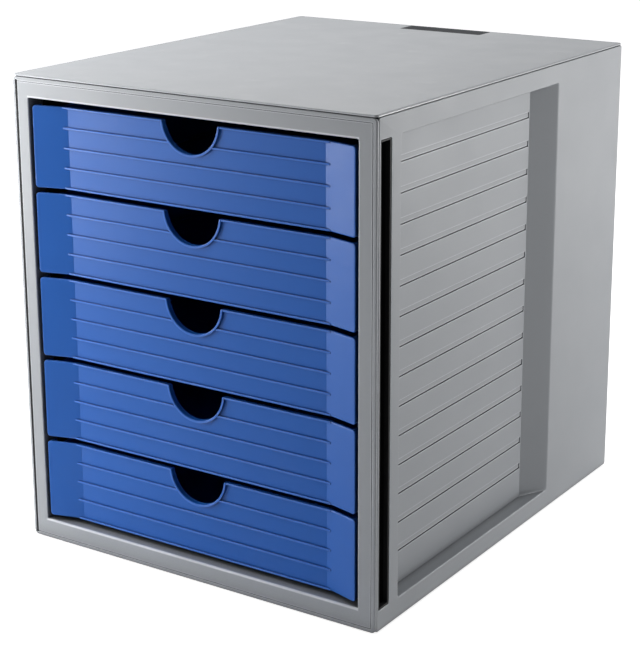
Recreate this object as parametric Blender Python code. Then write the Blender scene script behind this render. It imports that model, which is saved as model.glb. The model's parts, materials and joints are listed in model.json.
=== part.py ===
"""Desktop drawer cabinet: a moulded grey housing on rubber feet, with five blue trays that slide out.

Lengths are metres. +Z is up, the front faces -Y, and the origin is at the middle of the cabinet's
base, on the surface that it stands on.
"""

import math

import bmesh
import bpy

# Whole cabinet
WIDTH = 0.275
DEPTH = 0.330
HEIGHT = 0.320

# Gaps between pieces, and how far shapes run past or into each other while they are cut and joined
FIT = 0.0003
SEAM = 0.0005
OVERRUN = 0.002
EMBED = 0.0004

# Outer shell: edges, corners and wall thicknesses
EDGE_RADIUS = 0.0008
PANEL_CORNER = 0.0015
SKIN = 0.002
COVER_EDGE = 0.0013
COVER_PLUG = 0.0016
COVER_CORNER = 0.0025
BASE_THICKNESS = 0.0025
BACK_THICKNESS = 0.0024
BACK_INSET = 0.0026
FLANGE_THICKNESS = 0.002
FLANGE_REACH = 0.008

# Front frame: bars round the opening, the collar behind them, and the lines in its face
FRAME_PLATE = 0.0016
FRAME_CORNER = 0.003
BAR_SIDE = 0.0125
BAR_TOP = 0.0131
BAR_BOTTOM = 0.0138
OPENING_CORNER = 0.0008
COLLAR_DEPTH = 0.014
COLLAR_WALL = 0.002
BORDER = 0.0029
BORDER_LINE_WIDTH = 0.0005
BORDER_LINE_DEPTH = 0.00035
EDGE_SLOT_WIDTH = 0.0018
EDGE_SLOT_END = 0.0019
SLOT_EDGE = 0.0002

# Slot near the front of each side, and the pocket behind it
SIDE_SLOT_SETBACK = 0.004
SIDE_SLOT_WIDTH = 0.0122
SIDE_SLOT_CORNER = 0.0012
SIDE_SLOT_EDGE = 0.0004
SIDE_SLOT_LINER = 0.001
POCKET_MARGIN = 0.0008
POCKET_WALL = 0.0012

# Grip recess in each side: a flat floor with a ramp at the rear, crossed by shallow strips
GRIP_FRONT_MARGIN = 0.0268
GRIP_REAR_MARGIN = 0.0995
GRIP_DEPTH = 0.0105
GRIP_WALL = 0.0015
GRIP_CORNER = 0.002
RAMP_LENGTH = 0.0215
STRIPS_PER_DRAWER = 3
STRIP_HEIGHT = 0.0041
STRIP_DEPTH = 0.0005
STRIP_DROP = 0.0007
SLIT_HEIGHT = 0.0007
SLIT_DEPTH = 0.0011

# Rows of drawers in the opening
DRAWER_COUNT = 5
DRAWER_GAP = 0.0033
LOWEST_GAP = 0.00305
HIGHEST_GAP = 0.00455
SIDE_GAP = 0.0025

# Drawer front: slanted wings beside a set-back middle that carries ribs, and returns at its sides
WING_WIDTH = 0.02435
WING_SETBACK = 0.0006
MIDDLE_SETBACK = 0.0073
FRONT_WALL = 0.0019
FRONT_CORNER = 0.0022
FRONT_EDGE = 0.0009
FRONT_REAR_EDGE = 0.0004
RETURN_LENGTH = 0.0048
RIB_COUNT = 5
RIB_HEIGHT = 0.0013
RIB_REACH = 0.0013
RIB_NOSE = 0.00025
RIB_EDGE = 0.0001
RIB_OVERHANG = 0.0034

# Finger notch in the drawer front's top edge
NOTCH_RADIUS = 0.021
NOTCH_RISE = 0.0012
NOTCH_RIM = 0.0014
NOTCH_RIM_REACH = 0.0015
NOTCH_EDGE = 0.0005
NOTCH_LIP = 0.0009

# Tray behind the drawer front
TRAY_MARGIN = 0.0047
TRAY_LIFT = 0.0026
TRAY_DROP = 0.004
TRAY_WALL = 0.0018
TRAY_FLOOR = 0.0018
TRAY_REAR_GAP = 0.0006
TRAY_BACKING = 0.0004
TRAY_CORNER = 0.006
TRAY_EDGE = 0.001
TRAY_RIM = 0.0005
TRAY_FILLET = 0.0015

# Runner walls: ledges that carry the trays, and the stops that hold them in
RUNNER_MARGIN = 0.0016
RUNNER_WALL = 0.0018
RUNNER_FRONT_GAP = 0.0005
LEDGE_THICKNESS = 0.0018
LEDGE_REACH = 0.0069
STOP_HEIGHT = 0.007
STOP_LENGTH = 0.004
STOP_REACH = 0.0023
STOP_SETBACK = 0.0045
EAR_REACH = 0.0026
EAR_LENGTH = 0.004
DRAWER_TRAVEL = 0.225

# Feet, back screws and the plain plate on the cover
FOOT_RADIUS = 0.008
FOOT_THICKNESS = 0.0022
FOOT_PROUD = 0.001
FOOT_SIDE_MARGIN = 0.022
FOOT_END_MARGIN = 0.026
SCREW_RADIUS = 0.00125
SCREW_LENGTH = 0.008
SCREW_HEAD_RADIUS = 0.003
SCREW_HEAD_HEIGHT = 0.0015
SCREW_CROSS_LENGTH = 0.0032
SCREW_CROSS_WIDTH = 0.0007
SCREW_CROSS_DEPTH = 0.0008
SCREW_HEIGHT_SHARES = (0.1, 0.5, 0.9)
POST_DEPTH = 0.0105
PLATE_LENGTH = 0.067
PLATE_WIDTH = 0.018
PLATE_THICKNESS = 0.0008
PLATE_CORNER = 0.001
PLATE_REAR_MARGIN = 0.0025
PLATE_EDGE = 0.0002

# Levels and planes that follow from the sizes above
FRONT_Y = -DEPTH / 2
REAR_Y = DEPTH / 2
BODY_BOTTOM = FOOT_PROUD
COVER_BOTTOM = HEIGHT - COVER_EDGE
SHELL_TOP = COVER_BOTTOM - SEAM
PLUG_BOTTOM = COVER_BOTTOM - COVER_PLUG
OPENING_HALF = WIDTH / 2 - BAR_SIDE
OPENING_BOTTOM = BODY_BOTTOM + BAR_BOTTOM
OPENING_TOP = SHELL_TOP - BAR_TOP
PANEL_FRONT = FRONT_Y + FRAME_PLATE + SEAM
SKIN_INNER = WIDTH / 2 - SKIN
INNER_HALF = SKIN_INNER - FIT
BACK_REAR = REAR_Y - BACK_INSET
BACK_FRONT = BACK_REAR - BACK_THICKNESS
FLANGE_INNER = SKIN_INNER - FLANGE_REACH
UPPER_FLANGE_TOP = PLUG_BOTTOM - FIT
UPPER_FLANGE_BOTTOM = UPPER_FLANGE_TOP - FLANGE_THICKNESS
BASE_TOP = BODY_BOTTOM + BASE_THICKNESS
LOWER_FLANGE_BOTTOM = BASE_TOP + FIT
LOWER_FLANGE_TOP = LOWER_FLANGE_BOTTOM + FLANGE_THICKNESS
GRIP_FLOOR = WIDTH / 2 - GRIP_DEPTH
GRIP_BACK = GRIP_FLOOR - GRIP_WALL
GRIP_FRONT = FRONT_Y + GRIP_FRONT_MARGIN
RAMP_TOP = REAR_Y - GRIP_REAR_MARGIN
RAMP_FOOT = RAMP_TOP - RAMP_LENGTH
RAMP_SLOPE = RAMP_LENGTH / GRIP_DEPTH
SIDE_SLOT_FRONT = FRONT_Y + SIDE_SLOT_SETBACK
SIDE_SLOT_REAR = SIDE_SLOT_FRONT + SIDE_SLOT_WIDTH
SCREW_X = (SKIN_INNER + FLANGE_INNER) / 2

# Drawer row and runner places that follow from the sizes above
STACK_HEIGHT = OPENING_TOP - OPENING_BOTTOM - LOWEST_GAP - HIGHEST_GAP
DRAWER_PITCH = (STACK_HEIGHT + DRAWER_GAP) / DRAWER_COUNT
FRONT_HEIGHT = DRAWER_PITCH - DRAWER_GAP
FRONT_HALF = OPENING_HALF - SIDE_GAP
FOLD_HALF = FRONT_HALF - WING_WIDTH
TRAY_HALF = OPENING_HALF - TRAY_MARGIN
TRAY_REAR = BACK_FRONT - TRAY_REAR_GAP - FRONT_Y
TRAY_TOP = FRONT_HEIGHT - TRAY_DROP
RUNNER_INNER = OPENING_HALF - RUNNER_MARGIN
RUNNER_OUTER = RUNNER_INNER + RUNNER_WALL
RUNNER_FRONT = FRONT_Y + COLLAR_DEPTH + RUNNER_FRONT_GAP
RUNNER_REAR = BACK_FRONT - FIT
LEDGE_FRONT = RUNNER_FRONT + RUNNER_WALL
STOP_FRONT = RUNNER_FRONT + STOP_SETBACK
EAR_FRONT = STOP_FRONT + STOP_LENGTH + FIT + DRAWER_TRAVEL - FRONT_Y

# Counts of straight steps in round shapes, and the angles above which an edge is shaded as a crease
CORNER_STEPS = 4
EDGE_STEPS = 3
ROUND_STEPS = 28
NOTCH_STEPS = 26
FLAT_CREASE = math.radians(10)
ROUND_CREASE = math.radians(32)


def clear_scene():
    for thing in list(bpy.data.objects):
        bpy.data.objects.remove(thing)


def make_material(name, colour, roughness, metallic=0.0):
    material = bpy.data.materials.new(name)
    material.use_nodes = True
    surface = material.node_tree.nodes["Principled BSDF"]
    surface.inputs["Base Color"].default_value = (*colour, 1.0)
    surface.inputs["Roughness"].default_value = roughness
    surface.inputs["Metallic"].default_value = metallic
    return material


def at(axis, level, u, v):
    """The point at a level along an axis, with u and v along the other two axes in X, Y, Z order."""
    return {"X": (level, u, v), "Y": (u, level, v), "Z": (u, v, level)}[axis]


def make_object(name, mesh):
    thing = bpy.data.objects.new(name, mesh)
    bpy.context.collection.objects.link(thing)
    return thing


def from_bmesh(name, shape):
    mesh = bpy.data.meshes.new(name)
    shape.to_mesh(mesh)
    shape.free()
    return make_object(name, mesh)


def loft(name, rings, caps=None):
    """A closed solid through rings of points. Caps lists each end's faces as point numbers."""
    shape = bmesh.new()
    rows = [[shape.verts.new(point) for point in ring] for ring in rings]
    count = len(rows[0])
    for near, far in zip(rows, rows[1:]):
        for i in range(count):
            j = (i + 1) % count
            shape.faces.new((near[i], near[j], far[j], far[i]))
    for row in (rows[0], rows[-1]):
        for cap in caps or [range(count)]:
            shape.faces.new([row[i] for i in cap])
    bmesh.ops.recalc_face_normals(shape, faces=shape.faces)
    return from_bmesh(name, shape)


def prism(name, axis, outline, low, high):
    return loft(name, [[at(axis, level, u, v) for u, v in outline] for level in (low, high)])


def block(name, low, high):
    (x0, y0, z0), (x1, y1, z1) = low, high
    return prism(name, "Z", [(x0, y0), (x1, y0), (x1, y1), (x0, y1)], z0, z1)


def rounded_rectangle(low, high, radius):
    """Points round a rectangle whose corners are arcs, from its lower right corner onwards."""
    (u0, v0), (u1, v1) = low, high
    centres = [
        (u1 - radius, v0 + radius),
        (u1 - radius, v1 - radius),
        (u0 + radius, v1 - radius),
        (u0 + radius, v0 + radius),
    ]
    points = []
    for corner, centre in enumerate(centres):
        points += quarter_arc(centre, radius, corner - 1)
    return points


def quarter_arc(centre, radius, quarter):
    """Points along a quarter of a circle, which starts that many right angles round it."""
    angles = [(quarter + step / CORNER_STEPS) * math.pi / 2 for step in range(CORNER_STEPS + 1)]
    return [(centre[0] + radius * math.cos(a), centre[1] + radius * math.sin(a)) for a in angles]


def circle(centre, radius, steps=ROUND_STEPS):
    turns = [2 * math.pi * step / steps for step in range(steps)]
    return [(centre[0] + radius * math.cos(a), centre[1] + radius * math.sin(a)) for a in turns]


def disc(name, axis, centre, radius, low, high):
    return prism(name, axis, circle(centre, radius), low, high)


def edge_profile(radius):
    """Pairs of inset and depth along a rounded edge, from the flat face to the side."""
    angles = [math.pi / 2 * (1 - step / EDGE_STEPS) for step in range(EDGE_STEPS + 1)]
    return [(radius * (1 - math.cos(a)), radius * (1 - math.sin(a))) for a in angles]


def rounded_plate(name, axis, low, high, corner, face, back, edge):
    """A plate whose face has rounded edges; the face and the back are levels along the axis."""
    away = math.copysign(1, back - face)
    rings = []
    for inset, depth in edge_profile(edge):
        inner_low = tuple(value + inset for value in low)
        inner_high = tuple(value - inset for value in high)
        outline = rounded_rectangle(inner_low, inner_high, corner - inset)
        rings.append([at(axis, face + away * depth, u, v) for u, v in outline])
    rings.append([at(axis, back, u, v) for u, v in rounded_rectangle(low, high, corner)])
    return loft(name, rings)


def flared_hole(name, axis, low, high, corner, face, back, edge):
    """Cutter for a hole with a rounded mouth; the face and the hole's end are levels on the axis."""
    away = math.copysign(1, back - face)
    rings = []
    for spread, depth in [*mouth_profile(edge), (0, abs(back - face))]:
        outer_low = tuple(value - spread for value in low)
        outer_high = tuple(value + spread for value in high)
        outline = rounded_rectangle(outer_low, outer_high, corner + spread)
        rings.append([at(axis, face + away * depth, u, v) for u, v in outline])
    return loft(name, rings)


def mouth_profile(radius):
    """Pairs of spread and depth down a hole's rounded mouth, from outside the face to its wall."""
    return [(radius, -OVERRUN), *edge_profile(radius)]


def ring_prism(name, axis, outer, inner, low, high):
    """A closed band between two outlines with equal numbers of points."""
    shape = bmesh.new()
    loops = [
        [shape.verts.new(at(axis, level, u, v)) for u, v in outline]
        for outline, level in ((outer, low), (outer, high), (inner, high), (inner, low))
    ]
    count = len(outer)
    for near, far in zip(loops, loops[1:] + loops[:1]):
        for i in range(count):
            j = (i + 1) % count
            shape.faces.new((near[i], near[j], far[j], far[i]))
    bmesh.ops.recalc_face_normals(shape, faces=shape.faces)
    return from_bmesh(name, shape)


def combine(target, operation, *tools):
    """Joins tools to the target, or cuts them from it, one after the other."""
    for tool in tools:
        modifier = target.modifiers.new(operation, "BOOLEAN")
        modifier.operation = operation
        modifier.solver = "EXACT"
        modifier.object = tool
        graph = bpy.context.evaluated_depsgraph_get()
        shaped = bpy.data.meshes.new_from_object(target.evaluated_get(graph))
        target.modifiers.clear()
        target.data = shaped
        bpy.data.objects.remove(tool)
    return target


def join(target, *tools):
    return combine(target, "UNION", *tools)


def cut(target, *tools):
    return combine(target, "DIFFERENCE", *tools)


def gathered(name, pieces):
    """One object from pieces that don't touch, to cut several places at once."""
    shape = bmesh.new()
    for piece in pieces:
        shape.from_mesh(piece.data)
        bpy.data.objects.remove(piece)
    return from_bmesh(name, shape)


def mirrored(name, source):
    """A copy of a piece for the other side of the cabinet."""
    shape = bmesh.new()
    shape.from_mesh(source.data)
    for vertex in shape.verts:
        vertex.co.x = -vertex.co.x
    bmesh.ops.reverse_faces(shape, faces=shape.faces)
    return from_bmesh(name, shape)


def finished(thing, name, material, crease=FLAT_CREASE):
    thing.name = name
    thing.data.name = name
    thing.data.materials.clear()
    thing.data.materials.append(material)
    thing.data.shade_smooth()
    thing.data.set_sharp_from_angle(angle=crease)
    return thing


def drawer_bottom(row):
    return OPENING_BOTTOM + LOWEST_GAP + row * DRAWER_PITCH


def front_frame():
    """Face plate with a rounded border, a collar round the opening and a narrow slot at the left."""
    frame = rounded_plate(
        "frame",
        "Y",
        (-WIDTH / 2, BODY_BOTTOM),
        (WIDTH / 2, SHELL_TOP),
        FRAME_CORNER,
        FRONT_Y,
        FRONT_Y + FRAME_PLATE,
        EDGE_RADIUS,
    )
    collar = block(
        "collar",
        (-OPENING_HALF - COLLAR_WALL, FRONT_Y + FRAME_PLATE - EMBED, OPENING_BOTTOM - COLLAR_WALL),
        (OPENING_HALF + COLLAR_WALL, FRONT_Y + COLLAR_DEPTH, OPENING_TOP + COLLAR_WALL),
    )
    join(frame, collar)
    return cut(frame, opening_cutter(), border_line_cutter(), edge_slot_cutter())


def opening_cutter():
    """The space inside the frame, flared at the front so that the frame's inner edge is rounded."""
    return flared_hole(
        "opening",
        "Y",
        (-OPENING_HALF, OPENING_BOTTOM),
        (OPENING_HALF, OPENING_TOP),
        OPENING_CORNER,
        FRONT_Y,
        FRONT_Y + COLLAR_DEPTH + OVERRUN,
        EDGE_RADIUS,
    )


def border_line_cutter():
    """The fine line that runs round the frame a little way in from its edge."""
    outlines = []
    for inset in (BORDER - BORDER_LINE_WIDTH / 2, BORDER + BORDER_LINE_WIDTH / 2):
        outlines.append(
            rounded_rectangle(
                (-WIDTH / 2 + inset, BODY_BOTTOM + inset),
                (WIDTH / 2 - inset, SHELL_TOP - inset),
                max(FRAME_CORNER - inset, 0) + BORDER_LINE_WIDTH,
            )
        )
    return ring_prism("line", "Y", *outlines, FRONT_Y - OVERRUN, FRONT_Y + BORDER_LINE_DEPTH)


def edge_slot_cutter():
    low, high = edge_slot_area(0)
    rear = FRONT_Y + FRAME_PLATE + OVERRUN
    return flared_hole("edge slot", "Y", low, high, edge_slot_corner(0), FRONT_Y, rear, SLOT_EDGE)


def edge_slot_area(inset):
    """Corners of the slot near the frame's left edge, drawn in by a clearance."""
    left = -SKIN_INNER + inset
    right = -SKIN_INNER + EDGE_SLOT_WIDTH - inset
    return (left, BODY_BOTTOM + EDGE_SLOT_END + inset), (right, SHELL_TOP - EDGE_SLOT_END - inset)


def edge_slot_corner(inset):
    return (EDGE_SLOT_WIDTH - EMBED) / 2 - inset


def side_panel():
    """Outer side wall at +X, with its flanges, screw posts, grip recess and slot."""
    panel = rounded_plate(
        "panel",
        "X",
        (PANEL_FRONT, BODY_BOTTOM),
        (REAR_Y, SHELL_TOP),
        PANEL_CORNER,
        WIDTH / 2,
        SKIN_INNER,
        EDGE_RADIUS,
    )
    join(panel, *side_flanges(), screw_post(), grip_shell())
    cut(panel, grip_cutter(), gathered("strips", grip_strips()), side_slot_cutter())
    return cut(panel, gathered("screw holes", screw_holes()))


def side_flanges():
    """Ledges along the panel's top and bottom, which the cover and the base meet."""
    levels = (
        (LOWER_FLANGE_BOTTOM, LOWER_FLANGE_TOP),
        (UPPER_FLANGE_BOTTOM, UPPER_FLANGE_TOP),
    )
    return [
        block(
            "flange",
            (FLANGE_INNER, PANEL_FRONT + PANEL_CORNER, low),
            (SKIN_INNER + EMBED, BACK_FRONT - FIT, high),
        )
        for low, high in levels
    ]


def screw_post():
    """Upright at the panel's rear that takes the back panel's screws."""
    rear = BACK_FRONT - FIT - EMBED
    return block(
        "post",
        (FLANGE_INNER + EMBED, rear - POST_DEPTH, LOWER_FLANGE_TOP - EMBED),
        (SKIN_INNER + 2 * EMBED, rear, UPPER_FLANGE_BOTTOM + EMBED),
    )


def screw_holes():
    return [
        disc(
            "hole",
            "Y",
            (SCREW_X, share * HEIGHT),
            SCREW_RADIUS + FIT,
            BACK_REAR - SCREW_LENGTH - FIT,
            BACK_REAR + OVERRUN,
        )
        for share in SCREW_HEIGHT_SHARES
    ]


def grip_shell():
    """The recess's walls as they stand behind the skin, before the recess is cut out of them."""
    lean = GRIP_WALL * math.hypot(1, RAMP_SLOPE)

    def ramp_back(x):
        return RAMP_FOOT + (x - GRIP_FLOOR) * RAMP_SLOPE + lean

    outer = SKIN_INNER + EMBED
    outline = [
        (outer, GRIP_FRONT - GRIP_WALL),
        (outer, ramp_back(outer)),
        (GRIP_BACK, ramp_back(GRIP_BACK)),
        (GRIP_BACK, GRIP_FRONT - GRIP_WALL),
    ]
    return prism("grip shell", "Z", outline, OPENING_BOTTOM - GRIP_WALL, OPENING_TOP + GRIP_WALL)


def grip_cutter():
    """The recess itself: rounded mouth and corners, a flat floor and the ramp at its rear."""
    rings = []
    for spread, depth in [*mouth_profile(EDGE_RADIUS), (0, GRIP_DEPTH)]:
        ramp = RAMP_TOP - depth * RAMP_SLOPE
        outline = rounded_rectangle(
            (GRIP_FRONT - spread, OPENING_BOTTOM - spread),
            (ramp + spread, OPENING_TOP + spread),
            GRIP_CORNER + spread,
        )
        rings.append([(WIDTH / 2 - depth, y, z) for y, z in outline])
    return loft("grip", rings)


def grip_strips():
    """Shallow bands across the recess floor, each with a narrow slit along its lower edge."""
    pitch = DRAWER_PITCH / STRIPS_PER_DRAWER
    first = drawer_bottom(0) - STRIP_DROP
    bands = []
    for row in range(1, DRAWER_COUNT * STRIPS_PER_DRAWER):
        low = first + row * pitch
        bands.append(grip_band(low, low + STRIP_HEIGHT, low + SLIT_HEIGHT))
    return bands


def grip_band(low, high, slit_top):
    """A stepped bar along Y: the band's full height near the surface, and the slit deeper in."""
    outline = [
        (GRIP_FLOOR + EMBED, low),
        (GRIP_FLOOR + EMBED, high),
        (GRIP_FLOOR - STRIP_DEPTH, high),
        (GRIP_FLOOR - STRIP_DEPTH, slit_top),
        (GRIP_FLOOR - SLIT_DEPTH, slit_top),
        (GRIP_FLOOR - SLIT_DEPTH, low),
    ]
    rear = RAMP_FOOT - STRIP_DEPTH * RAMP_SLOPE
    return prism("band", "Y", outline, GRIP_FRONT + EMBED / 2, rear)


def side_slot_cutter():
    low, high = side_slot_area(0)
    rear = SKIN_INNER - OVERRUN
    return flared_hole(
        "side slot", "X", low, high, SIDE_SLOT_CORNER, WIDTH / 2, rear, SIDE_SLOT_EDGE
    )


def side_slot_area(inset):
    """Corners of the slot near the side's front, drawn in by a clearance."""
    low = (SIDE_SLOT_FRONT + inset, OPENING_BOTTOM + inset)
    high = (SIDE_SLOT_REAR - inset, OPENING_TOP - inset)
    return low, high


def runner_wall():
    """Dark inner wall at +X: a pocket behind the side slot, ledges for the trays, and their stops."""
    low = LOWER_FLANGE_TOP + FIT
    high = UPPER_FLANGE_BOTTOM - FIT
    wall = block("wall", (RUNNER_INNER, RUNNER_FRONT, low), (RUNNER_OUTER, RUNNER_REAR, high))
    pocket_rear = SIDE_SLOT_REAR + POCKET_MARGIN + POCKET_WALL
    bridge = block(
        "bridge",
        (RUNNER_INNER + EMBED, RUNNER_FRONT + EMBED, low + EMBED),
        (OPENING_HALF + COLLAR_WALL + 2 * POCKET_WALL, pocket_rear - EMBED, high - EMBED),
    )
    pocket = block(
        "pocket block",
        (OPENING_HALF + COLLAR_WALL + FIT, FRONT_Y + FRAME_PLATE + FIT, low),
        (INNER_HALF, pocket_rear, high),
    )
    join(wall, bridge, pocket, pocket_liner())
    cut(wall, pocket_cutter(), liner_cutter())
    for row in range(DRAWER_COUNT):
        join(wall, ledge(row), stop(row))
    return wall


def pocket_liner():
    """Collar of the pocket that stands in the side slot, just below the panel's face."""
    low, high = side_slot_area(FIT)
    outline = rounded_rectangle(low, high, SIDE_SLOT_CORNER - FIT)
    return prism("liner", "X", outline, INNER_HALF - EMBED, WIDTH / 2 - SIDE_SLOT_EDGE)


def liner_cutter():
    low, high = side_slot_area(FIT + SIDE_SLOT_LINER)
    outline = rounded_rectangle(low, high, SIDE_SLOT_EDGE)
    inner = INNER_HALF - POCKET_WALL - EMBED
    return prism("liner hole", "X", outline, inner, WIDTH / 2 + OVERRUN)


def edge_slot_rib():
    """Rib of the left runner wall that stands in the frame's slot, just below its face."""
    low, high = edge_slot_area(FIT)
    outline = rounded_rectangle(low, high, edge_slot_corner(FIT))
    rear = FRONT_Y + FRAME_PLATE
    rib = prism("rib", "Y", outline, FRONT_Y + FIT, rear)
    neck = block(
        "neck",
        (low[0], rear - EMBED, LOWER_FLANGE_TOP + FIT),
        (high[0], rear + FIT + EMBED, UPPER_FLANGE_BOTTOM - FIT),
    )
    return join(rib, neck)


def pocket_cutter():
    return block(
        "pocket",
        (
            OPENING_HALF + COLLAR_WALL + FIT + POCKET_WALL,
            SIDE_SLOT_FRONT - POCKET_MARGIN,
            OPENING_BOTTOM - POCKET_MARGIN,
        ),
        (
            INNER_HALF - POCKET_WALL,
            SIDE_SLOT_REAR + POCKET_MARGIN,
            OPENING_TOP + POCKET_MARGIN,
        ),
    )


def ledge_top(row):
    return drawer_bottom(row) + TRAY_LIFT - FIT


def ledge(row):
    top = ledge_top(row)
    return block(
        "ledge",
        (RUNNER_INNER - LEDGE_REACH, LEDGE_FRONT, top - LEDGE_THICKNESS),
        (RUNNER_INNER + EMBED, RUNNER_REAR - EMBED, top),
    )


def stop(row):
    """Block that the tray's ear meets when the drawer is pulled right out."""
    top = ledge_top(row)
    return block(
        "stop",
        (RUNNER_INNER - STOP_REACH, STOP_FRONT, top - EMBED),
        (RUNNER_INNER + EMBED, STOP_FRONT + STOP_LENGTH, top + STOP_HEIGHT),
    )


def front_setback(x):
    """How far the drawer front's face lies behind the cabinet's front, at a place across it."""
    beyond = max(abs(x) - FOLD_HALF, 0)
    return MIDDLE_SETBACK - (MIDDLE_SETBACK - WING_SETBACK) * beyond / WING_WIDTH


def front_line(half, offset):
    """Points across the drawer front in plan, at an offset behind its face."""
    return [(x, front_setback(x) + offset) for x in (-half, -FOLD_HALF, FOLD_HALF, half)]


def front_outline(inset):
    """The drawer front seen from the front, with a point where each fold meets its edges."""
    corners = rounded_rectangle(
        (-FRONT_HALF + inset, inset),
        (FRONT_HALF - inset, FRONT_HEIGHT - inset),
        FRONT_CORNER - inset,
    )
    half = len(corners) // 2
    upper = [(FOLD_HALF, FRONT_HEIGHT - inset), (-FOLD_HALF, FRONT_HEIGHT - inset)]
    lower = [(-FOLD_HALF, inset), (FOLD_HALF, inset)]
    return corners[:half] + upper + corners[half:] + lower


def front_plate():
    """The folded plate, with rounded edges towards the user and finer ones behind."""
    profile = edge_profile(FRONT_EDGE)
    profile += [(inset, FRONT_WALL - depth) for inset, depth in reversed(edge_profile(FRONT_REAR_EDGE))]
    rings = []
    for inset, depth in profile:
        rings.append([(x, front_setback(x) + depth, z) for x, z in front_outline(inset)])
    count = len(rings[0])
    half = (count - 4) // 2
    right_wing = [count - 1, *range(half + 1)]
    middle = [half, half + 1, count - 2, count - 1]
    left_wing = list(range(half + 1, count - 1))
    return loft("front", rings, caps=[right_wing, middle, left_wing])


def front_returns():
    """Side walls that run back from the wings' outer edges, along the tray."""
    inner = TRAY_HALF - EMBED
    start = front_setback(inner) + FRONT_EDGE
    rear = start + RETURN_LENGTH
    outline = rounded_rectangle((-FRONT_HALF, 0), (FRONT_HALF, FRONT_HEIGHT), FRONT_CORNER)
    between = block(
        "between",
        (-inner, start - OVERRUN, -OVERRUN),
        (inner, rear + OVERRUN, FRONT_HEIGHT + OVERRUN),
    )
    return cut(prism("returns", "Y", outline, start, rear), between)


def front_ribs():
    """Ribs across the middle, whose ends stand a little proud of the slanted wings."""
    half = FOLD_HALF + RIB_OVERHANG
    face = MIDDLE_SETBACK - RIB_REACH
    first = RIB_EDGE + RIB_HEIGHT / 2
    pitch = (FRONT_HEIGHT - 2 * first) / (RIB_COUNT - 1)
    ribs = []
    for row in range(RIB_COUNT):
        low = first + row * pitch - RIB_HEIGHT / 2
        high = low + RIB_HEIGHT
        outline = [
            (MIDDLE_SETBACK + EMBED, low),
            (MIDDLE_SETBACK + EMBED, high),
            (face + RIB_NOSE, high),
            (face, high - RIB_NOSE),
            (face, low + RIB_NOSE),
            (face + RIB_NOSE, low),
        ]
        ribs.append(prism("rib", "X", outline, -half, half))
    return ribs


def notch_arc(radius, top):
    """Points along the notch's round side, from a height at its left to the same at its right."""
    centre = FRONT_HEIGHT + NOTCH_RISE
    start = math.asin((centre - top) / radius)
    sweep = math.pi - 2 * start
    points = []
    for step in range(NOTCH_STEPS + 1):
        angle = math.pi + start + sweep * step / NOTCH_STEPS
        points.append((radius * math.cos(angle), centre + radius * math.sin(angle)))
    return points


def notch_rim():
    """Half-round band that stands proud of the plate, before the notch is cut through both."""
    outline = notch_arc(NOTCH_RADIUS + NOTCH_RIM, FRONT_HEIGHT - RIB_EDGE)
    face = MIDDLE_SETBACK - NOTCH_RIM_REACH
    return prism("rim", "Y", outline, face, MIDDLE_SETBACK + FRONT_WALL / 2)


def notch_cutter():
    """The notch, with a rounded mouth and with lips where it meets the front's top edge."""
    face = MIDDLE_SETBACK - NOTCH_RIM_REACH
    deep = NOTCH_RIM_REACH + FRONT_WALL + TRAY_BACKING + OVERRUN
    rings = []
    for spread, depth in [(NOTCH_EDGE, -MIDDLE_SETBACK), *edge_profile(NOTCH_EDGE), (0, deep)]:
        arc = notch_arc(NOTCH_RADIUS + spread, FRONT_HEIGHT - NOTCH_LIP)
        lip = quarter_arc((arc[-1][0] + NOTCH_LIP, FRONT_HEIGHT - NOTCH_LIP), NOTCH_LIP, 1)
        lip.insert(0, (lip[0][0], FRONT_HEIGHT + OVERRUN))
        outline = [(-x, z) for x, z in lip] + arc[1:-1] + lip[::-1]
        rings.append([(x, face + depth, z) for x, z in outline])
    return loft("notch", rings)


def tray_plan(half, offset, rear, corner):
    """The tray seen from above: along the folded front, and round its rear corners."""
    points = front_line(half, offset)
    points += quarter_arc((half - corner, rear - corner), corner, 0)
    points += quarter_arc((corner - half, rear - corner), corner, 1)
    return points


def tray_outer():
    """The tray before it is hollowed, with rounded lower and upper edges."""
    levels = [(inset, TRAY_LIFT + depth) for inset, depth in edge_profile(TRAY_EDGE)]
    levels += [(inset, TRAY_TOP - depth) for inset, depth in reversed(edge_profile(TRAY_RIM))]
    rings = []
    for inset, z in levels:
        plan = tray_plan(TRAY_HALF - inset, FRONT_WALL / 2, TRAY_REAR - inset, TRAY_CORNER - inset)
        rings.append([(x, y, z) for x, y in plan])
    return loft("tray", rings)


def tray_cavity():
    """The tray's inside, with a fillet round its floor and a flare at its rim."""
    floor = TRAY_LIFT + TRAY_FLOOR
    levels = [(-inset, inset, floor + depth) for inset, depth in edge_profile(TRAY_FILLET)]
    levels += [(spread, 0, TRAY_TOP - depth) for spread, depth in reversed(edge_profile(TRAY_RIM))]
    levels.append((TRAY_RIM, 0, FRONT_HEIGHT + OVERRUN))
    half = TRAY_HALF - TRAY_WALL
    rear = TRAY_REAR - TRAY_WALL
    corner = TRAY_CORNER - TRAY_WALL
    front = FRONT_WALL + TRAY_BACKING
    rings = []
    for spread, inset, z in levels:
        plan = tray_plan(half + spread, front + inset, rear + spread, corner + spread)
        rings.append([(x, y, z) for x, y in plan])
    return loft("cavity", rings)


def tray_ear(side):
    """Small block on the tray's side that meets the runner's stop."""
    inner = TRAY_HALF - EMBED
    outer = TRAY_HALF + EAR_REACH
    low_x, high_x = sorted((side * inner, side * outer))
    return block(
        "ear",
        (low_x, EAR_FRONT, TRAY_LIFT + EMBED),
        (high_x, EAR_FRONT + EAR_LENGTH, TRAY_LIFT + STOP_HEIGHT),
    )


def drawer_shape():
    """One moulded drawer, placed with its lower front edge's middle at the origin."""
    drawer = join(front_plate(), front_returns(), tray_outer())
    cut(drawer, tray_cavity())
    join(drawer, *front_ribs(), notch_rim(), tray_ear(-1), tray_ear(1))
    return cut(drawer, notch_cutter())


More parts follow.
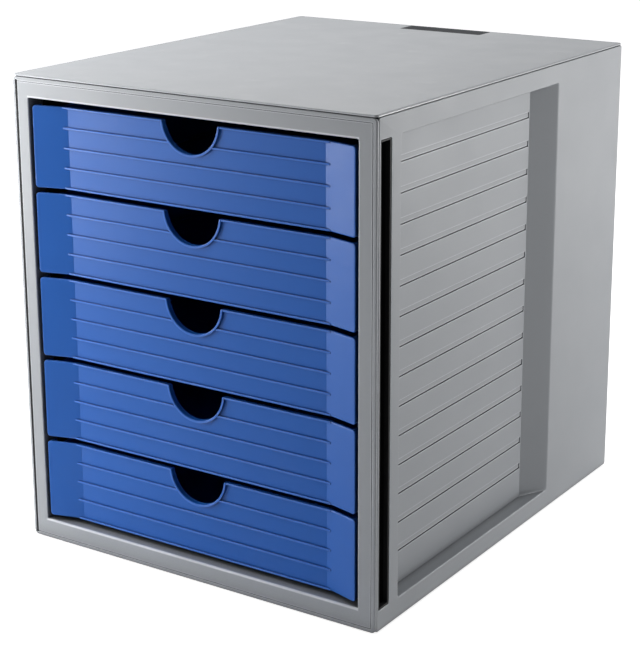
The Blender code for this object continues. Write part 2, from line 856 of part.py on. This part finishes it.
def top_cover():
    """Lid plate with a rounded edge, a plug that drops between the sides, and the plate's pocket."""
    cover = rounded_plate(
        "cover",
        "Z",
        (-WIDTH / 2, FRONT_Y),
        (WIDTH / 2, REAR_Y),
        COVER_CORNER,
        HEIGHT,
        COVER_BOTTOM,
        EDGE_RADIUS,
    )
    plug = block(
        "plug",
        (-INNER_HALF, FRONT_Y + FRAME_PLATE + FIT, PLUG_BOTTOM),
        (INNER_HALF, BACK_FRONT - FIT, COVER_BOTTOM + EMBED),
    )
    low, high = plate_area(FIT)
    floor = HEIGHT - PLATE_THICKNESS - FIT
    pocket = flared_hole("pocket", "Z", low, high, PLATE_CORNER, HEIGHT, floor, PLATE_EDGE)
    return cut(join(cover, plug), pocket)


def plate_area(spread):
    """Corners of the plain plate's place on the cover, spread outwards by a clearance."""
    rear = REAR_Y - PLATE_REAR_MARGIN + spread
    front = REAR_Y - PLATE_REAR_MARGIN - PLATE_WIDTH - spread
    half = PLATE_LENGTH / 2 + spread
    return (-half, front), (half, rear)


def cover_plate():
    """Plain plate, flush with the cover."""
    low, high = plate_area(0)
    floor = HEIGHT - PLATE_THICKNESS
    return rounded_plate("plate", "Z", low, high, PLATE_CORNER, HEIGHT, floor, PLATE_EDGE)


def base_panel():
    base = block(
        "base",
        (-INNER_HALF, FRONT_Y + FRAME_PLATE + FIT, BODY_BOTTOM),
        (INNER_HALF, BACK_FRONT - FIT, BASE_TOP),
    )
    recesses = [
        disc(
            "recess",
            "Z",
            centre,
            FOOT_RADIUS + FIT,
            BODY_BOTTOM - OVERRUN,
            FOOT_THICKNESS + FIT,
        )
        for centre in foot_places()
    ]
    return cut(base, gathered("recesses", recesses))


def foot_places():
    x = WIDTH / 2 - FOOT_SIDE_MARGIN
    y = DEPTH / 2 - FOOT_END_MARGIN
    return [(-x, -y), (x, -y), (-x, y), (x, y)]


def rubber_foot():
    """Round pad with a rounded lower edge, about its own centre."""
    rings = []
    for inset, depth in edge_profile(EDGE_RADIUS):
        rings.append([(x, y, depth) for x, y in circle((0, 0), FOOT_RADIUS - inset)])
    rings.append([(x, y, FOOT_THICKNESS) for x, y in circle((0, 0), FOOT_RADIUS)])
    return loft("foot", rings)


def back_panel():
    back = block(
        "back",
        (-INNER_HALF, BACK_FRONT, BODY_BOTTOM),
        (INNER_HALF, BACK_REAR, COVER_BOTTOM - FIT),
    )
    holes = [
        disc("hole", "Y", centre, SCREW_RADIUS + FIT, BACK_FRONT - OVERRUN, BACK_REAR + OVERRUN)
        for centre in screw_places()
    ]
    return cut(back, gathered("holes", holes))


def screw_places():
    return [(side * SCREW_X, share * HEIGHT) for side in (-1, 1) for share in SCREW_HEIGHT_SHARES]


def back_screw():
    """Pan-head screw along Y, with its head's underside at the origin and a cross in the head."""
    crown = edge_profile(SCREW_HEAD_HEIGHT / 2)
    rings = [
        [(x, SCREW_HEAD_HEIGHT - depth, z) for x, z in circle((0, 0), SCREW_HEAD_RADIUS - inset)]
        for inset, depth in crown
    ]
    rings.append([(x, 0, z) for x, z in circle((0, 0), SCREW_HEAD_RADIUS)])
    screw = loft("screw", rings)
    join(screw, disc("shank", "Y", (0, 0), SCREW_RADIUS, -SCREW_LENGTH + FIT, EMBED))
    floor = SCREW_HEAD_HEIGHT - SCREW_CROSS_DEPTH
    long, short = SCREW_CROSS_LENGTH / 2, SCREW_CROSS_WIDTH / 2
    top = SCREW_HEAD_HEIGHT + OVERRUN
    bars = [
        block("bar", (-long, floor, -short), (long, top, short)),
        block("bar", (-short, floor, -long), (short, top, long)),
    ]
    return cut(screw, *bars)


def placed(source, name, location):
    """A copy that shares the source's mesh, at its own place."""
    thing = make_object(name, source.data)
    thing.location = location
    return thing


def build():
    clear_scene()
    grey = make_material("housing_grey", (0.42, 0.43, 0.44), 0.45)
    blue = make_material("drawer_blue", (0.045, 0.13, 0.42), 0.4)
    black = make_material("runner_black", (0.015, 0.015, 0.017), 0.55)
    plate = make_material("plate_grey", (0.09, 0.09, 0.1), 0.4)
    rubber = make_material("foot_rubber", (0.02, 0.02, 0.02), 0.8)
    steel = make_material("screw_steel", (0.55, 0.55, 0.56), 0.35, metallic=1.0)

    finished(front_frame(), "front_frame", grey)
    finished(top_cover(), "top_cover", grey)
    finished(base_panel(), "base_panel", grey)
    finished(back_panel(), "back_panel", grey)
    panel = side_panel()
    finished(mirrored("left", panel), "left_side_panel", grey)
    finished(panel, "right_side_panel", grey)
    wall = runner_wall()
    left_wall = join(mirrored("left", wall), edge_slot_rib())
    finished(left_wall, "left_runner_wall", black)
    finished(wall, "right_runner_wall", black)
    finished(cover_plate(), "cover_plate", plate)

    foot = finished(rubber_foot(), "foot", rubber, ROUND_CREASE)
    for number, (x, y) in enumerate(foot_places(), start=1):
        placed(foot, f"rubber_foot_{number}", (x, y, 0))
    screw = finished(back_screw(), "screw", steel, ROUND_CREASE)
    for number, (x, z) in enumerate(screw_places(), start=1):
        placed(screw, f"back_screw_{number}", (x, BACK_REAR + FIT, z))
    drawer = finished(drawer_shape(), "drawer", blue)
    for row in range(DRAWER_COUNT):
        placed(drawer, f"drawer_{row + 1}", (0, FRONT_Y, drawer_bottom(row)))
    for pattern in (foot, screw, drawer):
        bpy.data.objects.remove(pattern)


build()
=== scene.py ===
"""Finishes, light and camera for a desktop drawer cabinet: grey moulded housing, blue sliding trays.

Lengths are metres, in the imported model's own frame: +X right, +Y back, +Z up, origin under the middle.
"""

import json
import math

import bpy
from mathutils import Matrix, Vector


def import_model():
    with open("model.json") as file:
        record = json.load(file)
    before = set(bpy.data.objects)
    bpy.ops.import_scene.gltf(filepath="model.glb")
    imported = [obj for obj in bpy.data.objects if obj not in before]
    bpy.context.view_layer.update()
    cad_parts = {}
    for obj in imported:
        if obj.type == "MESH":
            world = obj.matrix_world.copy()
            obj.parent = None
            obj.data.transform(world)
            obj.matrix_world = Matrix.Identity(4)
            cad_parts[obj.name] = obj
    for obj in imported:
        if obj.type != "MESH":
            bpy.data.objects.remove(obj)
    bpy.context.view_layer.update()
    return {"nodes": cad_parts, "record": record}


# Photograph's frame, and the camera that was fitted to the cabinet's corners in it
PHOTO_HEIGHT = 662
FOCAL_PIXELS = 1776.2
SENSOR = 36.0
CAMERA_PLACE = (0.6504, -0.9986, 0.5038)
CAMERA_YAW = math.radians(33.5)
CAMERA_PITCH = math.radians(15.23)
CAMERA_ROLL = math.radians(-0.21)
CAMERA_SHIFT = -0.11
NEAREST_SEEN = 0.01
FARTHEST_SEEN = 50.0

# Base colours: each with the one that its flow clouds drift to
HOUSING_GREY = (0.379, 0.396, 0.42)
HOUSING_TINT = (0.363, 0.38, 0.404)
DRAWER_BLUE = (0.012, 0.116, 0.475)
DRAWER_TINT = (0.011, 0.108, 0.45)
PLATE_GREY = (0.06, 0.063, 0.068)
PLATE_TINT = (0.052, 0.055, 0.06)
# Runners' black stands in for the shade inside the side slots: painted shade on real parts
RUNNER_SHADE_BLACK = (0.011, 0.011, 0.012)
RUNNER_TINT = (0.016, 0.016, 0.017)
FOOT_BLACK = (0.018, 0.018, 0.018)
FOOT_TINT = (0.03, 0.03, 0.03)

# Spans of a noise texture's value, which gathers round a half, over which a share rises
WIDE_SPAN = (0.3, 0.7)
MIDDLE_SPAN = (0.35, 0.65)

# How open a face is: the rays that measure it, the spans of it over which edge wear with a painted highlight,
# a seam's painted shade line and a gap's painted shade go from none to full, and how far a seam's line
# reaches
OPENNESS_SAMPLES = 4
EDGE_SPAN = (0.97, 0.72)
SEAM_SHADE_SPAN = (0.92, 0.5)
GAP_SHADE_SPAN = (0.76, 0.28)
SEAM_SHADE_REACH = 0.0009

# Moulded plastic's colour: clouds and flow lines drift to the tint, and seams and gaps get painted shade
CLOUD_SIZE = 0.11
CLOUD_TINT = 0.75
FLOW_SIZE = 0.02
FLOW_STRETCH = (6, 6, 1)
FLOW_TINT = 0.25
GAP_SHADE_DARKNESS = 0.22

# Rubbed edges: how unevenly, how much brighter by scale as a painted highlight, and how much less rough
PATCH_SIZE = 0.009
PATCH_LEAST = 0.8
EDGE_HIGHLIGHT_SCALE = 1.4
RUBBED_SMOOTHER = 0.24

# What the grain, handling and fine marks add to the roughness
GRAIN_GLOSS = (-0.03, 0.03)
RUB_SIZE = 0.035
RUB_GLOSS = (-0.035, 0.04)
MARK_SIZE = 0.0016
MARK_STRETCH = (14, 14, 1)
MARK_SPAN = (0.62, 0.72)
MARK_GLOSS = (0.0, -0.05)

# Relief: the grain, and the slow waves of a moulded wall
GRAIN_HEIGHT = 0.000008
WAVE_SIZE = 0.014
WAVE_HEIGHT = 0.00002
WAVE_STRENGTH = 0.35

# Frame's opening: half its width, its bottom and top, and the frame's face. Its rim gets a painted highlight
# in full as far from the corner as the first reach, and then less and less up to the second.
OPENING_HALF = 0.1242
OPENING_SPAN = (0.0148, 0.3051)
FRAME_FACE = -0.165
RIM_REACH = (0.0009, 0.0016)
RIM_HIGHLIGHT_GREY = (0.74, 0.76, 0.79)
RIM_PATCH_SIZE = 0.03
RIM_PATCH_LEAST = 0.75

# Feet's pebbled relief
PEBBLE_SIZE = 0.0022
PEBBLE_HEIGHT = 0.00005
PEBBLE_STRENGTH = 0.5

# Screws' zinc: mottled from bright to dull, with painted shade in the recesses
ZINC_BRIGHT = (0.62, 0.63, 0.62)
ZINC_DULL = (0.5, 0.51, 0.5)
ZINC_RECESS_SHADE = (0.16, 0.155, 0.15)
ZINC_CRYSTAL = 0.002
ZINC_GLOSS = (0.25, 0.42)
ZINC_SEAM_REACH = 0.0004
ZINC_GAP_REACH = 0.002
ZINC_EDGE_REACH = 0.0003
ZINC_RUBBED_SMOOTHER = 0.12
ZINC_GRAIN = 0.0002
ZINC_GRAIN_HEIGHT = 0.000004

# Light that the surroundings give, and the white that the camera and reflections see there
SURROUND_LIGHT = 0.07
SEEN_WHITE = 1.0

# Floor: its glow grows to the seen white over a span of distances from the middle
FLOOR_HALF = 6.0
FLOOR_WHITE = (0.86, 0.86, 0.86)
FLOOR_ROUGHNESS = 0.9
FLOOR_NEAR_GLOW = 0.8
FLOOR_SPAN = (0.35, 1.1)

# Softboxes round the cabinet: name, degrees round from the front, degrees up, distance, size, watts
LAMP_TARGET = (0, 0, 0.16)
LAMPS = (
    ("key", -50, 5, 0.6, 0.3, 1.5),
    ("key_soft", -50, 5, 1.1, 0.8, 2.8),
    ("key_raised", -50, 20, 0.45, 0.3, 0.3),
    ("key_upper", -50, 45, 0.5, 0.3, 0.7),
    ("left_side", -90, 30, 0.6, 0.4, 0.5),
    ("left_back", -135, 55, 1.1, 0.6, 4.8),
    ("right_back", 134, 4, 1.5, 0.5, 7.4),
    ("right_high", 120, 40, 1.1, 0.8, 1.2),
    ("right_rim", 150, 10, 1.1, 0.8, 1.2),
)

# Angle above which two faces meet in an edge and aren't shaded as one curve
CREASE = math.radians(31)
WELD = 1e-6

# Slighter folds that are edges too: each node's axis (0 for X, 1 for Y) and distance from the middle
DRAWER_FOLD = (0, 0.09815)
GRIP_RAMP_FOOT = (1, 0.044)
SLIGHTEST_FOLD = math.radians(5)
FOLD_REACH = 0.00002

# Mix node's colour sockets, because its other kinds of value have sockets of the same names
MIX_COLOURS = (6, 7)
MIX_RESULT = 2


class Shader:
    """A small helper that makes and joins the nodes of one material."""

    def __init__(self, name):
        self.material = bpy.data.materials.new(name)
        self.material.use_nodes = True
        self.tree = self.material.node_tree
        self.surface = self.tree.nodes["Principled BSDF"]
        self.place = self.tree.nodes.new("ShaderNodeTexCoord").outputs["Object"]

    def set(self, **values):
        """Constants on the surface, named as its sockets are, with _ for spaces."""
        for name, value in values.items():
            self.surface.inputs[name.replace("_", " ")].default_value = value

    def join(self, source, target):
        self.tree.links.new(source, target)

    def noise(self, size, detail=2.0, roughness=0.5, stretch=(1, 1, 1)):
        """Noise whose features are about size across; stretch makes them longer along an axis."""
        mapping = self.tree.nodes.new("ShaderNodeMapping")
        mapping.inputs["Scale"].default_value = [1 / (size * factor) for factor in stretch]
        self.join(self.place, mapping.inputs["Vector"])
        texture = self.tree.nodes.new("ShaderNodeTexNoise")
        texture.inputs["Scale"].default_value = 1.0
        texture.inputs["Detail"].default_value = detail
        texture.inputs["Roughness"].default_value = roughness
        self.join(mapping.outputs["Vector"], texture.inputs["Vector"])
        return texture.outputs[0]

    def ramp(self, source, span, low=0.0, high=1.0):
        """Source over a span becomes a value from low to high, held at both ends."""
        node = self.tree.nodes.new("ShaderNodeMapRange")
        node.inputs["From Min"].default_value = span[0]
        node.inputs["From Max"].default_value = span[1]
        node.inputs["To Min"].default_value = low
        node.inputs["To Max"].default_value = high
        self.join(source, node.inputs["Value"])
        return node.outputs["Result"]

    def math(self, operation, first, second=0.0):
        """Result of an operation on values that are each a number or another node's output."""
        node = self.tree.nodes.new("ShaderNodeMath")
        node.operation = operation
        for socket, value in zip(node.inputs, (first, second)):
            if isinstance(value, (int, float)):
                socket.default_value = value
            else:
                self.join(value, socket)
        return node.outputs[0]

    def mix(self, share, first, second):
        """Blend of two colours, each a tuple or another node's colour."""
        node = self.tree.nodes.new("ShaderNodeMix")
        node.data_type = "RGBA"
        self.join(share, node.inputs["Factor"])
        for index, value in zip(MIX_COLOURS, (first, second)):
            if isinstance(value, tuple):
                node.inputs[index].default_value = (*value, 1.0)
            else:
                self.join(value, node.inputs[index])
        return node.outputs[MIX_RESULT]

    def openness(self, reach, inside=False):
        """1 where nothing is within reach of the face, and less where something is."""
        node = self.tree.nodes.new("ShaderNodeAmbientOcclusion")
        node.samples = OPENNESS_SAMPLES
        node.inside = inside
        node.inputs["Distance"].default_value = reach
        return node.outputs["AO"]

    def outer_edge(self, reach):
        """Share from 0 on a flat face to 1 on an edge or narrow rib that stands proud."""
        return self.ramp(self.openness(reach, inside=True), EDGE_SPAN)

    def painted_shade(self, seam, gap, line=0.8):
        """Share of painted shade: from 0 on an open face to line along a seam's foot, and to 1 deep in a
        narrow gap.
        """
        fine = self.ramp(self.openness(seam), SEAM_SHADE_SPAN, 0.0, line)
        deep = self.ramp(self.openness(gap), GAP_SHADE_SPAN)
        return self.math("MAXIMUM", fine, deep)

    def rim(self, half_width, span, face, reach):
        """Share of 1 round the front corner of an opening, down to 0 at the end of the reach."""
        axes = self.tree.nodes.new("ShaderNodeSeparateXYZ")
        self.join(self.place, axes.inputs[0])
        middle, half_height = (span[0] + span[1]) / 2, (span[1] - span[0]) / 2
        across = self.math("SUBTRACT", self.math("ABSOLUTE", axes.outputs[0]), half_width)
        height = self.math("ABSOLUTE", self.math("SUBTRACT", axes.outputs[2], middle))
        outward = self.math("MAXIMUM", across, self.math("SUBTRACT", height, half_height))
        away = self.math("ADD", outward, self.math("SUBTRACT", axes.outputs[1], face))
        return self.ramp(away, reach, 1.0, 0.0)

    def colour(self, source):
        self.join(source, self.surface.inputs["Base Color"])

    def roughness(self, source):
        self.join(source, self.surface.inputs["Roughness"])

    def bump(self, height, distance, strength=1.0):
        """Relief on top of the relief that is there already."""
        node = self.tree.nodes.new("ShaderNodeBump")
        node.inputs["Strength"].default_value = strength
        node.inputs["Distance"].default_value = distance
        self.join(height, node.inputs["Height"])
        socket = self.surface.inputs["Normal"]
        if socket.is_linked:
            self.join(socket.links[0].from_socket, node.inputs["Normal"])
        self.join(node.outputs["Normal"], socket)


def moulded(name, colour, tint, gloss, specular, highlight_lift, line=0.8, grain=0.00045, edge=0.0008, gap=0.01):
    """Satin injection-moulded plastic: eroded grain, flow clouds, faint marks and rubbed edges with a painted
    highlight.

    gloss is the roughness of a flat face. Outer edges are rubbed smoother within edge of their
    corner, more in some patches than in others, and get a painted highlight: the colour is scaled up and
    highlight_lift is added. Seams and narrow gaps get painted shade, a seam's line by up to the share line,
    and a gap where its far side is within gap.
    """
    shader = Shader(name)
    shader.set(Specular_IOR_Level=specular)
    clouds = shader.ramp(shader.noise(CLOUD_SIZE, detail=3), WIDE_SPAN, 0.0, CLOUD_TINT)
    flow = shader.ramp(shader.noise(FLOW_SIZE, stretch=FLOW_STRETCH), MIDDLE_SPAN, 0.0, FLOW_TINT)
    plain = shader.mix(shader.math("ADD", clouds, flow), colour, tint)
    patches = shader.ramp(shader.noise(PATCH_SIZE, detail=3), MIDDLE_SPAN, PATCH_LEAST)
    worn = shader.math("MULTIPLY", shader.outer_edge(edge), patches)
    # Painted highlight: outer edges get the colour scaled up and lifted
    painted_highlight_colour = tuple(min(1.0, value * EDGE_HIGHLIGHT_SCALE + highlight_lift) for value in colour)
    # Painted shade: seams and narrow gaps go towards this dark colour
    painted_shade_colour = tuple(value * GAP_SHADE_DARKNESS for value in colour)
    rubbed = shader.mix(worn, plain, painted_highlight_colour)
    shader.colour(shader.mix(shader.painted_shade(SEAM_SHADE_REACH, gap, line), rubbed, painted_shade_colour))
    fine = shader.noise(grain, detail=3, roughness=0.6)
    rub = shader.noise(RUB_SIZE, detail=4, roughness=0.6)
    marks = shader.noise(MARK_SIZE, detail=3, stretch=MARK_STRETCH)
    spread = shader.math("ADD", shader.ramp(fine, WIDE_SPAN, *GRAIN_GLOSS), gloss)
    spread = shader.math("ADD", spread, shader.ramp(rub, MIDDLE_SPAN, *RUB_GLOSS))
    spread = shader.math("ADD", spread, shader.ramp(marks, MARK_SPAN, *MARK_GLOSS))
    shader.roughness(shader.math("SUBTRACT", spread, shader.math("MULTIPLY", worn, RUBBED_SMOOTHER)))
    shader.bump(fine, GRAIN_HEIGHT)
    shader.bump(shader.noise(WAVE_SIZE, detail=1), WAVE_HEIGHT, strength=WAVE_STRENGTH)
    return shader


def housing_material():
    return moulded("housing_grey", HOUSING_GREY, HOUSING_TINT, gloss=0.42, specular=0.35, highlight_lift=0.12).material


def frame_material():
    """The housing's plastic, with a painted highlight round the front rim of the opening."""
    shader = moulded("frame_grey", HOUSING_GREY, HOUSING_TINT, gloss=0.42, specular=0.4, highlight_lift=0.12, gap=0.024)
    # Painted highlight round the front rim of the opening
    rim = shader.rim(OPENING_HALF, OPENING_SPAN, FRAME_FACE, RIM_REACH)
    patches = shader.ramp(shader.noise(RIM_PATCH_SIZE, detail=3), MIDDLE_SPAN, RIM_PATCH_LEAST)
    plain = shader.surface.inputs["Base Color"].links[0].from_socket
    shader.colour(shader.mix(shader.math("MULTIPLY", rim, patches), plain, RIM_HIGHLIGHT_GREY))
    return shader.material


def drawer_material():
    shader = moulded("drawer_blue", DRAWER_BLUE, DRAWER_TINT, gloss=0.38, specular=0.25, highlight_lift=0.06, line=0.6)
    return shader.material


def runner_material():
    return moulded("runner_black", RUNNER_SHADE_BLACK, RUNNER_TINT, gloss=0.6, specular=0.1, highlight_lift=0.003).material


def plate_material():
    shader = moulded(
        "plate_grey", PLATE_GREY, PLATE_TINT, gloss=0.65, specular=0.02, highlight_lift=0.02, grain=0.0003, edge=0.0004
    )
    return shader.material


def rubber_material():
    shader = moulded("foot_rubber", FOOT_BLACK, FOOT_TINT, gloss=0.75, specular=0.25, highlight_lift=0.01, grain=0.0008)
    shader.bump(shader.noise(PEBBLE_SIZE), PEBBLE_HEIGHT, strength=PEBBLE_STRENGTH)
    return shader.material


def steel_material():
    """Bright zinc plating with mottled crystals and smoother corners."""
    shader = Shader("screw_zinc")
    shader.set(Metallic=1.0)
    cloud = shader.noise(ZINC_CRYSTAL, detail=3)
    plated = shader.mix(cloud, ZINC_BRIGHT, ZINC_DULL)
    # Painted shade in the recesses of the screws
    shader.colour(shader.mix(shader.painted_shade(ZINC_SEAM_REACH, ZINC_GAP_REACH), plated, ZINC_RECESS_SHADE))
    spread = shader.ramp(cloud, WIDE_SPAN, *ZINC_GLOSS)
    worn = shader.math("MULTIPLY", shader.outer_edge(ZINC_EDGE_REACH), ZINC_RUBBED_SMOOTHER)
    shader.roughness(shader.math("SUBTRACT", spread, worn))
    shader.bump(shader.noise(ZINC_GRAIN), ZINC_GRAIN_HEIGHT)
    return shader.material


def smoothing_group(name, fold):
    """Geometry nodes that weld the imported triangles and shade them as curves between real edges."""
    group = bpy.data.node_groups.new(name, "GeometryNodeTree")
    for direction in ("INPUT", "OUTPUT"):
        group.interface.new_socket("Geometry", in_out=direction, socket_type="NodeSocketGeometry")
    entry = group.nodes.new("NodeGroupInput")
    leave = group.nodes.new("NodeGroupOutput")
    weld = group.nodes.new("GeometryNodeMergeByDistance")
    weld.inputs["Distance"].default_value = WELD
    angle = group.nodes.new("GeometryNodeInputMeshEdgeAngle").outputs[0]
    shade = group.nodes.new("GeometryNodeSetMeshNormal")
    shade.inputs["Remove Custom"].default_value = True

    def calculate(operation, first, second=0.0):
        node = group.nodes.new("ShaderNodeMath")
        node.operation = operation
        for socket, value in zip(node.inputs, (first, second)):
            if isinstance(value, float):
                socket.default_value = value
            else:
                group.links.new(value, socket)
        return node.outputs[0]

    axis, distance = fold
    place = group.nodes.new("ShaderNodeSeparateXYZ")
    group.links.new(group.nodes.new("GeometryNodeInputPosition").outputs[0], place.inputs[0])
    off = calculate("SUBTRACT", calculate("ABSOLUTE", place.outputs[axis]), distance)
    near = calculate("LESS_THAN", calculate("ABSOLUTE", off), FOLD_REACH)
    folded = calculate("MULTIPLY", near, calculate("GREATER_THAN", angle, SLIGHTEST_FOLD))
    sharp = calculate("MAXIMUM", folded, calculate("GREATER_THAN", angle, CREASE))
    group.links.new(entry.outputs[0], weld.inputs["Geometry"])
    group.links.new(weld.outputs[0], shade.inputs["Mesh"])
    group.links.new(sharp, shade.inputs["Edge Sharpness"])
    group.links.new(shade.outputs[0], leave.inputs[0])
    return group


def dress(frame):
    """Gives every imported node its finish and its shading."""
    finishes = {
        "housing_plastic": housing_material(),
        "drawer_plastic": drawer_material(),
        "runner_plastic": runner_material(),
        "plate_plastic": plate_material(),
        "foot_rubber": rubber_material(),
        "screw_steel": steel_material(),
    }
    frame_finish = frame_material()
    drawer_group = smoothing_group("weld_and_shade_drawer", DRAWER_FOLD)
    group = smoothing_group("weld_and_shade", GRIP_RAMP_FOOT)
    slots = {part["node"]: part["material_slot"] for part in frame["record"]["subparts"]}
    for name, node in frame["nodes"].items():
        node.data.materials.clear()
        node.data.materials.append(frame_finish if name == "front_frame" else finishes[slots[name]])
        smooth = node.modifiers.new("weld_and_shade", "NODES")
        smooth.node_group = drawer_group if name.startswith("drawer_") else group
        weigh = node.modifiers.new("flat_faces_stay_flat", "WEIGHTED_NORMAL")
        weigh.keep_sharp = True


def make_camera():
    data = bpy.data.cameras.new("photo_camera")
    data.sensor_width = SENSOR
    data.lens = FOCAL_PIXELS * SENSOR / PHOTO_HEIGHT
    data.shift_y = CAMERA_SHIFT
    data.clip_start = NEAREST_SEEN
    data.clip_end = FARTHEST_SEEN
    camera = bpy.data.objects.new("photo_camera", data)
    bpy.context.scene.collection.objects.link(camera)
    heading = Matrix.Rotation(CAMERA_YAW, 4, "Z")
    level = Matrix.Rotation(math.pi / 2 - CAMERA_PITCH, 4, "X")
    roll = Matrix.Rotation(CAMERA_ROLL, 4, "Z")
    camera.matrix_world = Matrix.Translation(CAMERA_PLACE) @ heading @ level @ roll
    bpy.context.scene.camera = camera


def seen_ray(tree):
    """1 for rays from the camera, a reflection or a clear material, and 0 for light that spreads."""
    rays = tree.nodes.new("ShaderNodeLightPath")
    seen = rays.outputs["Is Camera Ray"]
    for name in ("Is Glossy Ray", "Is Transmission Ray"):
        either = tree.nodes.new("ShaderNodeMath")
        either.operation = "MAXIMUM"
        tree.links.new(seen, either.inputs[0])
        tree.links.new(rays.outputs[name], either.inputs[1])
        seen = either.outputs[0]
    return seen


def make_floor():
    """Pale floor under the cabinet, seen as white apart from the cabinet's shadow."""
    mesh = bpy.data.meshes.new("floor")
    corners = [(x * FLOOR_HALF, y * FLOOR_HALF, 0) for x, y in ((-1, -1), (1, -1), (1, 1), (-1, 1))]
    mesh.from_pydata(corners, [], [(0, 1, 2, 3)])
    floor = bpy.data.objects.new("floor", mesh)
    bpy.context.scene.collection.objects.link(floor)
    shader = Shader("floor_white")
    shader.set(Roughness=FLOOR_ROUGHNESS, Base_Color=(*FLOOR_WHITE, 1.0), Emission_Color=(1.0, 1.0, 1.0, 1.0))
    length = shader.tree.nodes.new("ShaderNodeVectorMath")
    length.operation = "LENGTH"
    shader.join(shader.place, length.inputs[0])
    glow = shader.ramp(length.outputs["Value"], FLOOR_SPAN, FLOOR_NEAR_GLOW, SEEN_WHITE)
    seen_glow = shader.math("MULTIPLY", glow, seen_ray(shader.tree))
    shader.join(seen_glow, shader.surface.inputs["Emission Strength"])
    floor.data.materials.append(shader.material)


def make_world():
    """White surroundings that are seen in full but give only a little light."""
    world = bpy.data.worlds.new("studio")
    world.use_nodes = True
    tree = world.node_tree
    background = tree.nodes["Background"]
    strength = tree.nodes.new("ShaderNodeMapRange")
    strength.inputs["To Min"].default_value = SURROUND_LIGHT
    strength.inputs["To Max"].default_value = SEEN_WHITE
    tree.links.new(seen_ray(tree), strength.inputs["Value"])
    tree.links.new(strength.outputs["Result"], background.inputs["Strength"])
    background.inputs["Color"].default_value = (1.0, 1.0, 1.0, 1.0)
    bpy.context.scene.world = world


def make_lights():
    target = Vector(LAMP_TARGET)
    for name, turn, up, distance, size, power in LAMPS:
        turn, up = math.radians(turn), math.radians(up)
        way = Vector((math.sin(turn) * math.cos(up), -math.cos(turn) * math.cos(up), math.sin(up)))
        data = bpy.data.lights.new(name, "AREA")
        data.size = size
        data.energy = power
        lamp = bpy.data.objects.new(name, data)
        bpy.context.scene.collection.objects.link(lamp)
        lamp.location = target + way * distance
        lamp.rotation_euler = way.to_track_quat("Z", "Y").to_euler()


def main():
    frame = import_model()
    dress(frame)
    make_camera()
    make_floor()
    make_world()
    make_lights()
    bpy.context.scene.view_settings.view_transform = "Standard"


main()
